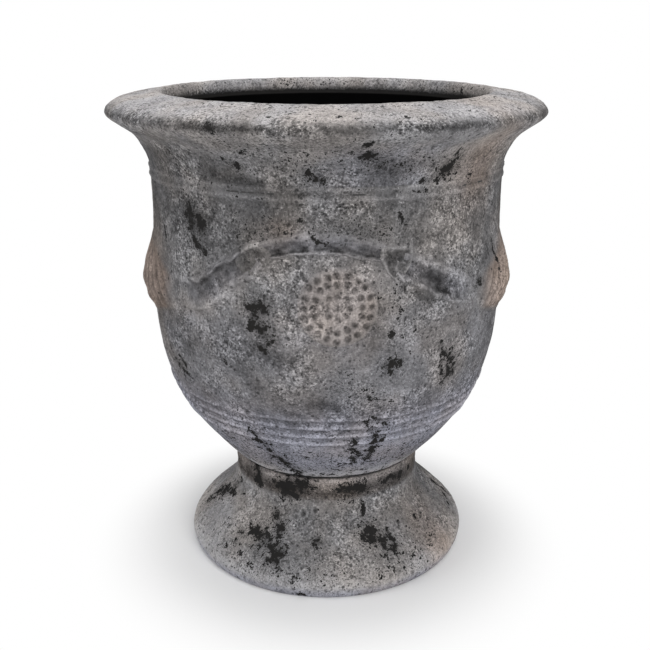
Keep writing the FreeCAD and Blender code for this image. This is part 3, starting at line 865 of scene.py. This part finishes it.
# %% Paint the neck band
points, azimuth, height, radius, chips = surface(band)
fillets = sum(bell(height, level / MM, 2.2) for level in FILLETS)
crusty = np.maximum(chips, 0.05 + 0.13 * fillets)
# The fillets are paler: worn, crusty wash and a painted highlight along each.
paint(band, bare=crusty, rubbed=0.36 * fillets - 0.14 + smudges(points), warm=warm_stains(points))

# %% [markdown]
# ## The applied relief
# Garlands, knots and swags were pressed in moulds, laid on the wall and smoothed down with wet fingers,
# so little more than their edges is left. They could be sculpted by hand. Here each one is a flat sheet
# with a height at every point, bent round the wall and given a thickness towards it. Where a sheet's
# height is below zero it lies under the wall's surface, so its edge runs out into the wall as smoothed
# clay does.

# %% Relief helpers
SHEET_THICKNESS = 3 * MM
BURIED = -4.0


def worn_clay():
    """Roughens a finished piece in the same way as the wall beside it."""
    tree, given = clay_tree("worn_clay", {**LUMP_SIZES, "Sink": 0.0})
    finished(tree, roughened(tree, given, given["Geometry"]), given["Finish"])
    return tree


WORN = worn_clay()
reliefs = {}


def on_wall(azimuth, height, proud):
    """Points in metres from azimuth in degrees, and height and depth over the wall in millimetres."""
    turn = np.radians(azimuth)
    radius = bowl_wall(height * MM) + proud * MM
    return np.stack([radius * np.sin(turn), -radius * np.cos(turn), height * MM], axis=-1)


def close_up(piece, half_turn):
    """Gives a sheet its thickness, roughens it and sets its finish; half a turn puts it on the back."""
    if half_turn:
        move_points(piece, points_of(piece) * (-1, -1, 1))
    if np.sum(points_of(piece, "normal")[:, :2] * points_of(piece)[:, :2]) < 0:
        piece.data.flip_normals()
    thick = piece.modifiers.new("thickness", "SOLIDIFY")
    thick.thickness = SHEET_THICKNESS
    thick.offset = -1
    grow(piece, WORN, Finish=relief_clay)
    print(piece.name, len(piece.data.polygons), "faces")
    return piece


def sheet_of(name, points):
    """A sheet of four-sided faces through a grid of points."""
    rows, columns = points.shape[:2]
    corners = np.arange(rows * columns).reshape(rows, columns)
    faces = np.stack([corners[:-1, :-1], corners[:-1, 1:], corners[1:, 1:], corners[1:, :-1]], axis=-1)
    mesh = bpy.data.meshes.new(name)
    mesh.from_pydata(points.reshape(-1, 3).tolist(), [], faces.reshape(-1, 4).tolist())
    return placed(name, mesh)


def press(name, azimuth, height, proud, half_turn=False, **colours):
    """A sheet of relief from grids of azimuth, height and depth over the wall, with its paint."""
    grid = on_wall(azimuth, height, proud)
    piece = sheet_of(name, grid)
    points = grid.reshape(-1, 3)
    colours = {key: np.broadcast_to(value, azimuth.shape).ravel() for key, value in colours.items()}
    colours["bare"] = np.maximum(colours.get("bare", 0.0), bare_field(points))
    colours["rubbed"] = colours.get("rubbed", 0.0) + smudges(points)
    colours["warm"] = np.clip(colours.get("warm", 0.0) + warm_stains(points), 0, 1)
    paint(piece, **colours)
    return close_up(piece, half_turn)


def both_faces(source, name, make, *shape):
    """Lays the same relief on the front and, half a turn round, on the back."""
    for face, half_turn in (("front", False), ("back", True)):
        reliefs[source.format(face)] = make(name.format(face), half_turn, *shape)


def through(value, stops):
    """A smooth run through (place, height) stops."""
    places, heights = zip(*stops)
    lo = np.clip(np.searchsorted(places, value) - 1, 0, len(places) - 2)
    start, end = np.take(places, lo), np.take(places, lo + 1)
    share = step(value, start, end)
    return np.take(heights, lo) * (1 - share) + np.take(heights, lo + 1) * share

# %% [markdown]
# ## Garlands
# Each garland is a leafy band: a thin arris along its upper edge, a hollow, and a soft ledge below. The
# arris and the ledge are painted lighter as painted highlights, and the hollow darker as painted shade.
# It could be a swept curve, but then its leaves would need a second tool. Here a sheet follows a path on
# the wall, one run of stops gives the section across it, and a second gives its painted light and shade.

# %% Garlands
ACROSS = (
    (-1.45, BURIED), (-1.15, -0.4), (-0.86, 2.4), (-0.62, 2), (-0.3, 0.7), (0.35, 0.4), (0.6, 0.6),
    (0.8, 2.9), (0.92, 2.5), (1.15, -0.4), (1.45, BURIED),
)
# Painted highlights on the arris and the ledge, painted shade in the hollow.
LIT_AND_SHADED_ACROSS = (
    (-1.45, 0), (-1.05, 0.1), (-0.84, 0.4), (-0.58, 0.2), (-0.25, -0.35), (0.3, -0.55),
    (0.62, -0.85), (0.74, -0.3), (0.84, 0.5), (1.00, 0.15), (1.45, 0),
)
LEAF_PITCH = 13.0
GARLAND_RADIUS = bowl_wall(0.34) / MM


def smoothed(line, reach, kind="even"):
    """A row of values, each one blended with those within some reach of it."""
    kernel = np.hanning(2 * reach + 1)
    padded = np.pad(line, reach, "reflect", reflect_type=kind)
    return np.convolve(padded, kernel / kernel.sum(), "valid")


def hand_wobble(shape, seed, reach):
    """A soft random field of about minus one to one, with patches of some reach points across."""
    field = np.random.default_rng(seed).normal(size=shape)
    for axis in (0, 1):
        field = np.apply_along_axis(smoothed, axis, field, reach)
    return field / field.std() * 0.6


def band_along(name, half_turn, path, half_widths, fade, seed, relief, depth, rows=130, columns=64):
    """A garland through path points (azimuth, height), as wide as half_widths says from start to end."""
    azimuths, heights = np.array(path, float).T
    flat = np.column_stack([np.radians(azimuths) * GARLAND_RADIUS, heights])
    travelled = np.concatenate([[0], np.cumsum(np.linalg.norm(np.diff(flat, axis=0), axis=1))])
    fine = np.linspace(0, travelled[-1], rows)
    centre = [smoothed(np.interp(fine, travelled, row), rows // 8, "odd") for row in flat.T]
    centre = np.column_stack(centre)
    along = np.gradient(centre, axis=0)
    along /= np.linalg.norm(along, axis=1)[:, None]
    side = np.column_stack([-along[:, 1], along[:, 0]])
    v = np.linspace(ACROSS[0][0], ACROSS[-1][0], columns)[None, :]
    u = np.linspace(0, 1, rows)[:, None]
    half = np.interp(u, np.linspace(0, 1, len(half_widths)), half_widths)
    x = centre[:, 0:1] + side[:, 0:1] * v * half
    z = centre[:, 1:2] + side[:, 1:2] * v * half
    low, high = fade
    strength = step(u, 0, low) * step(u, 1, 1 - high)
    run = fine[:, None]
    leaves = np.sin(2 * np.pi * (run / LEAF_PITCH + 0.55 * np.abs(v) + 0.2 * np.sin(run / 17)))
    wavy = v + 0.11 * hand_wobble((rows, columns), seed, 6)
    patchy = hand_wobble((rows, columns), seed + 50, 6)
    proud = through(wavy, ACROSS)
    proud = np.where(proud > 0, relief * proud * (0.85 + 0.15 * leaves + 0.25 * patchy), proud)
    proud = proud * strength + BURIED * (1 - strength) * np.where(proud > 0, 0.35, 1.0)
    # Painted light and shade across the garland; depth sets how dark its painted shade is.
    tone = through(wavy, LIT_AND_SHADED_ACROSS) * strength * (0.85 + 0.25 * leaves + 0.55 * patchy)
    tone = np.where(tone > 0, relief * tone, depth * tone)
    azimuth = np.degrees(x / GARLAND_RADIUS)
    return press(name, azimuth, z, proud, half_turn, rubbed=tone, cool=0.35 * strength * bell(v, 0, 0.8))


LEFT_PATH = ((-56, 324), (-44, 328), (-36, 337), (-30, 353), (-24, 366), (-19, 378))
RIGHT_PATH = ((58, 324), (46, 331), (38, 342), (31, 354), (25, 362), (20, 371))
CREST_PATH = ((18, 377), (11, 384), (3, 389), (-5, 389), (-12, 386), (-20, 379))
GARLANDS = {
    "left": (LEFT_PATH, (13, 15, 15, 14, 12), (0.5, 0.04), 31, 1.0, 1.0),
    "right": (RIGHT_PATH, (12, 14, 15, 14, 11), (0.5, 0.06), 34, 1.0, 0.75),
    "crest": (CREST_PATH, (8, 9, 9, 9, 8), (0.05, 0.05), 37, 0.6, 1.15),
}
for part, shape in GARLANDS.items():
    both_faces("garland_{}_" + part, "leaves_{}_" + part, band_along, *shape)

# %% [markdown]
# ## Knots
# Where the garlands meet, a knot of ribbon was pressed on. The right one is worn to a shield with a
# pale border and a curl in it, the left one to a dark hollow under a short crease. A ball or a tied
# curve would look too fresh, so these are sheets with a few rounded heights.

# %% Knots
def knot_grid(azimuth, height, half_width, half_height, count=44):
    across = np.linspace(-half_width, half_width, count)
    x, z = np.meshgrid(across, np.linspace(half_height, -half_height, count))
    return x, z, azimuth + np.degrees(x * MM / bowl_wall(height * MM)), height + z


def right_knot(name, half_turn):
    x, z, azimuth, height = knot_grid(20, 370, 24, 24)
    half = np.interp(z, (-17, -9, 4, 12), (1.5, 9, 15, 14))
    inside = 1 - np.maximum(np.abs(x - 0.8) / np.maximum(half, 0.1), np.abs(z + 1.5) / 15)
    edge = bell(inside, 0.0, 0.14)
    curl = bell(np.hypot(x - 4, z + 5), 5.0, 1.6)
    proud = 1.8 * edge + 0.6 * step(inside, 0, 0.25) + 1.3 * curl
    outside = step(inside, -0.05, -0.55)
    proud = proud * (1 - outside) + BURIED * outside
    rubbed = 0.3 * edge - 0.75 * step(inside, 0.05, 0.3) + 0.65 * curl
    return press(name, azimuth, height, proud, half_turn, rubbed=rubbed)


def left_knot(name, half_turn):
    x, z, azimuth, height = knot_grid(-21, 372, 25, 22)
    away = np.hypot(x / 17, z / 14)
    crease = bell(z - 0.55 * x - 13, 0, 2.2) * step(np.abs(x + 1), 13, 7)
    proud = 1.9 * bell(away, 0.92, 0.22) + 0.6 * step(away, 1.0, 0.6) + 2.2 * crease
    outside = step(away, 1.0, 1.45)
    proud = proud * (1 - outside) + BURIED * outside
    rubbed = -0.55 * step(away, 1.0, 0.55) + 0.9 * crease
    return press(name, azimuth, height, proud, half_turn, rubbed=rubbed)


both_faces("knot_{}_left", "ribbon_knot_{}_left", left_knot)
both_faces("knot_{}_right", "ribbon_knot_{}_right", right_knot)

# %% [markdown]
# ## Side swags
# At both sides a thick swag swells out of the outline. It is a long soft cushion with leaves that slope
# down it. Its section up the wall was read from the outline in the photograph, and it thins towards
# both ends.

# %% Side swags
SWAG_SECTION = (
    (274, BURIED), (284, 0), (290, 2.2), (295, 4.9), (300, 6.9), (305, 7.3), (310, 8.9), (316, 10.7),
    (320, 10.8), (326, 9.6), (335, 7.7), (345, 5.2), (355, 3), (364, 1), (370, -0.5), (378, BURIED),
)
SWAG_HALF_ANGLE = 38.0
SWAG_LEVEL = 321.0
SWAG_RADIUS = 186


def side_swag(name, centre):
    aside, level = np.meshgrid(np.linspace(-1.12, 1.12, 130), np.linspace(374.5, 277.5, 84))
    levels, depths = zip(*SWAG_SECTION)
    shape = np.interp(level, levels, depths)
    taper = 1 - aside**2
    height = SWAG_LEVEL + (level - SWAG_LEVEL) * (0.36 + 0.64 * np.clip(taper, 0, 1))
    shown = step(shape, -0.5, 4) * step(taper, 0.0, 0.45)
    along = np.radians(aside * SWAG_HALF_ANGLE) * SWAG_RADIUS
    leaves = np.sin(2 * np.pi * (along * 0.8 + np.sign(aside) * (height - 318) * 0.55) / 11)
    veins = 1.1 * leaves * step(shape, 1, 6) * step(taper, 0.05, 0.4)
    proud = np.where(shape > 0, shape * np.clip(taper, 0, 1) + veins, shape)
    proud = proud + BURIED * step(taper, 0.12, -0.2)
    rubbed = 0.18 + 0.26 * leaves * step(shape, 1, 6) - 0.25 * bell(height, 303, 3)
    turn = centre + aside * SWAG_HALF_ANGLE
    # The right swag is painted lighter: painted light on the side the light falls on.
    rubbed = (rubbed + 0.14 * (centre > 0)) * shown
    return press(name, turn, height, proud, rubbed=rubbed, warm=0.85 * shown)


swags = {
    "side_swag_left": side_swag("leaf_swag_left", -90),
    "side_swag_right": side_swag("leaf_swag_right", 90),
}

# %% [markdown]
# ## Rosette
# Under the crest sits a round flower, worn down to rings of dimples in a low pale disc. The dimples
# repeat, so a Geometry Nodes tree sets them out: circles of points, each pushed a little off its place,
# and the depth at every point of the disc follows from the distance to the nearest one.

# %% Rosette tree
ROSETTE_PLACE = (3.1, 330.0)
ROSETTE_RADIUS = 0.0375
ROSETTE_GRID = 92
ROSETTE_SKIRT = 1.25
DIMPLE_RINGS = ((31.0, 20), (22.5, 16), (11.0, 8), (0.4, 3))


def rosette_disc():
    """Presses rings of dimples into a flat sheet and lifts it to a low disc."""
    sizes = {"Radius": ROSETTE_RADIUS, "Dimple Radius": 0.0048, "Depth": 0.0012, "Jitter": 0.001}
    tree, given = clay_tree("rosette_disc", {**sizes, "Seed": 5})
    rings = node(tree, "GeometryNodeJoinGeometry")
    for radius, count in DIMPLE_RINGS:
        ring = wire(tree, "GeometryNodeMeshCircle", {"Vertices": count, "Radius": radius * MM})
        tree.links.new(ring, rings.inputs[0])
    spots = wire(tree, "GeometryNodeMeshToPoints", {"Mesh": rings.outputs[0]})
    reach = {"Min": (-1, -1, 0), "Max": (1, 1, 0), "Seed": given["Seed"]}
    push = wire(tree, "FunctionNodeRandomValue", reach, data_type="FLOAT_VECTOR")
    strewn = moved(tree, spots, scaled(tree, push, given["Jitter"]))
    near = node(tree, "GeometryNodeProximity", {"Geometry": strewn}, target_element="POINTS")
    away = maths(tree, "DIVIDE", near.outputs["Distance"], given["Dimple Radius"])
    dimple = smooth_step(tree, away, 1.0, 0.35)
    place = wire(tree, "GeometryNodeInputPosition")
    middle = node(tree, "ShaderNodeVectorMath", {0: place}, operation="LENGTH").outputs["Value"]
    share = maths(tree, "DIVIDE", middle, given["Radius"])
    swell = smooth_step(tree, share, 1.24, 0.8, BURIED * MM, 1.5 * MM)
    from_edge = maths(tree, "ABSOLUTE", maths(tree, "SUBTRACT", share, 1.0))
    lip = times(tree, smooth_step(tree, from_edge, 0.1, 0.0), 0.3 * MM)
    height = maths(tree, "SUBTRACT", total(tree, swell, lip), times(tree, dimple, given["Depth"]))
    up = wire(tree, "ShaderNodeCombineXYZ", {"Z": height})
    kept = {"Geometry": moved(tree, given["Geometry"], up), "Name": "dimple", "Value": dimple}
    kept = wire(tree, "GeometryNodeStoreNamedAttribute", kept, data_type="FLOAT", domain="POINT")
    finished(tree, kept, given["Finish"])
    return tree


ROSETTE = rosette_disc()
print("rosette tree:", len(ROSETTE.nodes), "nodes")

# %% Rosettes
def rosette(name, half_turn):
    place = np.linspace(-1, 1, ROSETTE_GRID)
    x, y = np.meshgrid(place, place)
    disc = np.stack([x * np.sqrt(1 - y * y / 2), y * np.sqrt(1 - x * x / 2), 0 * x], axis=-1)
    piece = sheet_of(name, disc * ROSETTE_RADIUS * ROSETTE_SKIRT)
    grow(piece, ROSETTE, in_box=False, Finish=relief_clay)
    flat = points_of(piece) / MM
    dimple = np.zeros(len(flat))
    piece.data.attributes["dimple"].data.foreach_get("value", dimple)
    azimuth, height = ROSETTE_PLACE
    turned = azimuth + np.degrees(flat[:, 0] * MM / bowl_wall(height * MM))
    wrapped = on_wall(turned, height + flat[:, 1], flat[:, 2])
    move_points(piece, wrapped)
    share = np.hypot(flat[:, 0], flat[:, 1]) * MM / ROSETTE_RADIUS
    ground = step(share, 1.22, 0.75)
    painted_amount = 0.7 + 0.3 * np.sin(flat[:, 0] * 0.8 + 1.3) * np.sin(flat[:, 1] * 0.7 + 0.4)
    painted_amount *= 0.55 + 0.45 * step(share, 0.15, 0.6)
    paint(piece, bare=bare_field(wrapped), rubbed=0.48 * ground - 1.3 * dimple * painted_amount, warm=0.4 * ground)
    return close_up(piece, half_turn)


both_faces("rosette_{}", "dimpled_rosette_{}", rosette)

# %% [markdown]
# ## Fit the pieces to the frame
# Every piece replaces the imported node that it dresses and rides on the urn's one body. The slip in the
# neck joint is hidden inside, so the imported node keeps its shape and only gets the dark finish.

# %% Fit
def fit(piece, source):
    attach(piece, "root")
    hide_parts(source)


for piece, source in ((bowl, "bowl"), (foot, "foot"), (rim, "rim_collar")):
    fit(piece, source)
fit(band, "neck_band")
fit(seam, "foot_joint_slip")
for source, piece in {**reliefs, **swags}.items():
    fit(piece, source)
slip_node = nodes["neck_joint_slip"]
slip_node.data.materials.clear()
slip_node.data.materials.append(luting_slip)
